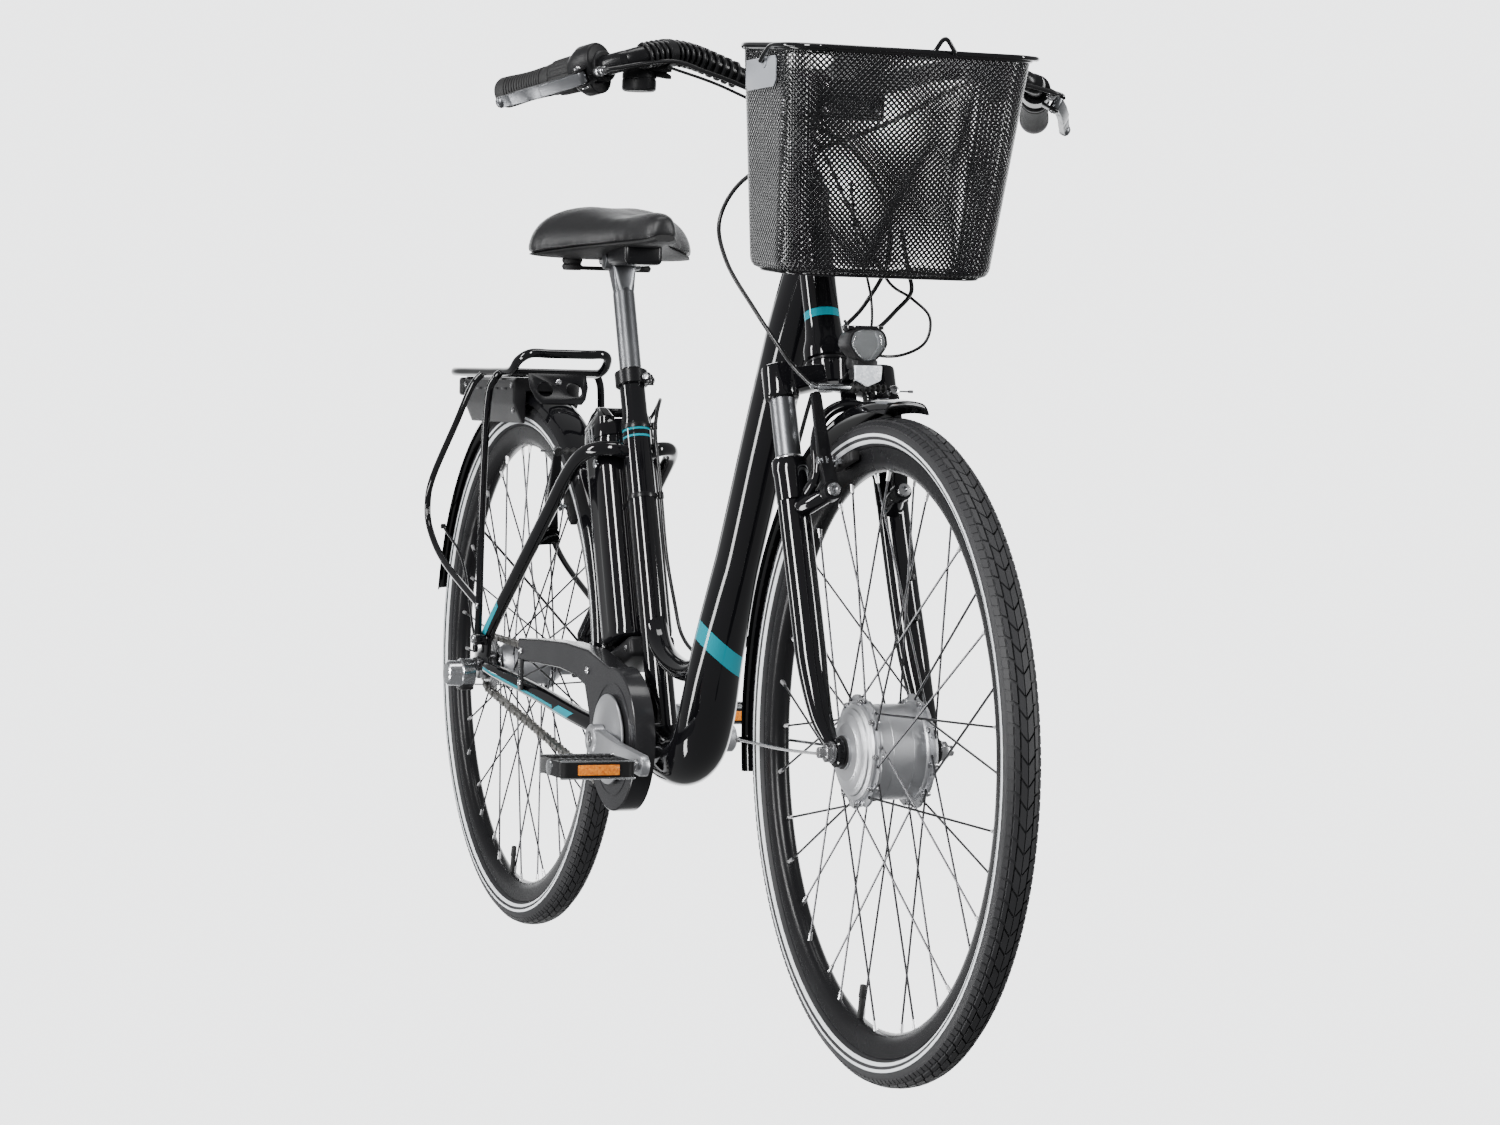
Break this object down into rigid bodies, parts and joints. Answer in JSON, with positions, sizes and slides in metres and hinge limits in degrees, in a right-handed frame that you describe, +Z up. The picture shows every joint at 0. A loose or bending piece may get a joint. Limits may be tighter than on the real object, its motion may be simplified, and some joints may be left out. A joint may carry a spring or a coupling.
{
  "type": "electric city bike",
  "caption": "Electric city bike with low step frame, front hub motor, seat tube battery, wire basket, rear rack, mudguards and rim brakes.",
  "frame": {"origin": "on the floor under the middle of the bike's overall length and width", "axes": "+X forward to the front wheel, +Y to the rider's left, +Z up"},
  "size_m": [1.9331, 0.6876, 1.1042],
  "materials": {
    "gloss_black": "gloss",
    "satin_black": "satin",
    "plastic": "matte",
    "gloss_plastic": "gloss",
    "rubber": "matte",
    "tyre": "matte",
    "vinyl": "satin",
    "silver": "satin",
    "steel": "satin",
    "clear": "gloss",
    "red": "gloss"
  },
  "bodies": {
    "frame": {"head_tube": "gloss_black", "down_tube": "gloss_black", "cross_strut": "gloss_black", "seat_tube": "gloss_black", "bottom_bracket_shell": "gloss_black", "right_chainstay": "gloss_black", "left_chainstay": "gloss_black", "right_seatstay": "gloss_black", "left_seatstay": "gloss_black", "chain_guard": "gloss_plastic", "chain": "steel", "rear_fender": "gloss_black", "rear_rack": "satin_black", "controller_box": "plastic", "rear_light": "red", "seat_clamp": "satin_black", "gear_hub_cap": "silver", "rear_brake_cable": "rubber", "rear_axle": "steel"},
    "steering": {"fork_crown": "gloss_black", "stem": "satin_black", "handlebar": "satin_black", "right_grip": "rubber", "left_grip": "rubber", "right_lever_bracket": "satin_black", "left_lever_bracket": "satin_black", "display": "plastic", "basket": "satin_black", "basket_bracket": "satin_black", "bell": "plastic", "front_brake_cable": "rubber"},
    "fork_lowers": {"fork_lowers": "gloss_black", "front_axle": "steel", "front_fender": "gloss_black", "front_lamp": "plastic", "lamp_lens": "clear"},
    "front_wheel": {"front_tyre": "tyre", "front_rim": "satin_black", "hub_motor": "silver"},
    "rear_wheel": {"rear_tyre": "tyre", "rear_rim": "satin_black", "rear_hub": "silver"},
    "sprocket": {"rear_sprocket": "steel"},
    "crank": {"right_crank": "silver", "left_crank": "silver", "chainring": "steel"},
    "right_pedal": {"right_pedal": "plastic"},
    "left_pedal": {"left_pedal": "plastic"},
    "right_brake_lever": {"right_brake_lever": "silver"},
    "left_brake_lever": {"left_brake_lever": "silver"},
    "front_right_brake_arm": {"front_right_brake_arm": "satin_black"},
    "front_left_brake_arm": {"front_left_brake_arm": "satin_black"},
    "rear_right_brake_arm": {"rear_right_brake_arm": "satin_black"},
    "rear_left_brake_arm": {"rear_left_brake_arm": "satin_black"},
    "twist_shifter": {"twist_shifter": "rubber"},
    "bell_lever": {"bell_lever": "plastic"},
    "basket_handle": {"basket_handle": "satin_black"},
    "seatpost": {"seatpost": "silver", "saddle": "vinyl"},
    "battery": {"battery": "plastic"}
  },
  "joints": [
    {"name": "steering_turn", "type": "hinge", "parent": "frame", "child": "steering", "pos_m": [0.41353, 0, 0.803], "axis": [-0.342, 0, 0.9397], "range_deg": [-60, 60], "deforming": ["rear_brake_cable"]},
    {"name": "fork_travel", "type": "slide", "parent": "steering", "child": "fork_lowers", "axis": [-0.342, 0, 0.9397], "range_m": [0, 0.03], "stiffness_N_per_m": 7000, "springref_m": -0.02, "deforming": ["front_brake_cable"]},
    {"name": "front_wheel_spin", "type": "hinge", "parent": "fork_lowers", "child": "front_wheel", "pos_m": [0.61664, 0, 0.34963], "axis": [0, 1, 0], "continuous": true},
    {"name": "rear_wheel_spin", "type": "hinge", "parent": "frame", "child": "rear_wheel", "pos_m": [-0.60747, 0, 0.35], "axis": [0, 1, 0], "continuous": true},
    {"name": "sprocket_spin", "type": "hinge", "parent": "frame", "child": "sprocket", "pos_m": [-0.60747, 0, 0.35], "axis": [0, 1, 0], "continuous": true},
    {"name": "crank_spin", "type": "hinge", "parent": "frame", "child": "crank", "pos_m": [-0.06147, 0, 0.3], "axis": [0, 1, 0], "continuous": true},
    {"name": "right_pedal_spin", "type": "hinge", "parent": "crank", "child": "right_pedal", "pos_m": [0.10788, -0.15, 0.28518], "axis": [0, 1, 0], "continuous": true},
    {"name": "left_pedal_spin", "type": "hinge", "parent": "crank", "child": "left_pedal", "pos_m": [-0.23083, 0.15, 0.31482], "axis": [0, 1, 0], "continuous": true},
    {"name": "right_lever_pull", "type": "hinge", "parent": "steering", "child": "right_brake_lever", "pos_m": [0.40509, -0.27939, 1.0512], "axis": [-0.075, 0.4666, -0.8813], "range_deg": [0, 7], "stiffness_Nm_per_rad": 3, "springref_deg": -2.86},
    {"name": "left_lever_pull", "type": "hinge", "parent": "steering", "child": "left_brake_lever", "pos_m": [0.40509, 0.27939, 1.0512], "axis": [0.075, 0.4666, 0.8813], "range_deg": [0, 7], "stiffness_Nm_per_rad": 3, "springref_deg": -2.86},
    {"name": "front_right_arm_close", "type": "hinge", "parent": "fork_lowers", "child": "front_right_brake_arm", "pos_m": [0.54756, -0.04, 0.61894], "axis": [0.9397, 0, 0.342], "range_deg": [-3.15, 0]},
    {"name": "front_left_arm_close", "type": "hinge", "parent": "fork_lowers", "child": "front_left_brake_arm", "pos_m": [0.54756, 0.04, 0.61894], "axis": [0.9397, 0, 0.342], "range_deg": [0, 3.15]},
    {"name": "rear_right_arm_close", "type": "hinge", "parent": "frame", "child": "rear_right_brake_arm", "pos_m": [-0.38877, -0.04, 0.5296], "axis": [-0.944, 0, 0.33], "range_deg": [0, 2.45]},
    {"name": "rear_left_arm_close", "type": "hinge", "parent": "frame", "child": "rear_left_brake_arm", "pos_m": [-0.38877, 0.04, 0.5296], "axis": [-0.944, 0, 0.33], "range_deg": [-2.45, 0]},
    {"name": "gear_twist", "type": "hinge", "parent": "steering", "child": "twist_shifter", "pos_m": [0.35028, -0.27833, 1.05642], "axis": [0.8975, 0.4167, 0.1442], "range_deg": [-70, 70]},
    {"name": "bell_flick", "type": "hinge", "parent": "steering", "child": "bell_lever", "pos_m": [0.40453, -0.1825, 1.04], "axis": [0, 0, 1], "range_deg": [0, 20], "stiffness_Nm_per_rad": 0.05, "springref_deg": -11.46},
    {"name": "basket_handle_lift", "type": "hinge", "parent": "steering", "child": "basket_handle", "pos_m": [0.58253, 0, 1.062], "axis": [0, -1, 0], "range_deg": [0, 140]},
    {"name": "seat_height", "type": "slide", "parent": "frame", "child": "seatpost", "axis": [-0.3255, 0, 0.9455], "range_m": [-0.06, 0.06]},
    {"name": "battery_lift", "type": "slide", "parent": "frame", "child": "battery", "axis": [-0.3255, 0, 0.9455], "range_m": [0, 0.12]}
  ],
  "couplings": [
    {"joint": "sprocket_spin", "follows": "crank_spin", "ratio": 2.1111},
    {"joint": "front_right_arm_close", "follows": "left_lever_pull", "ratio": -0.45},
    {"joint": "front_left_arm_close", "follows": "left_lever_pull", "ratio": 0.45},
    {"joint": "rear_right_arm_close", "follows": "right_lever_pull", "ratio": 0.35},
    {"joint": "rear_left_arm_close", "follows": "right_lever_pull", "ratio": -0.35}
  ]
}
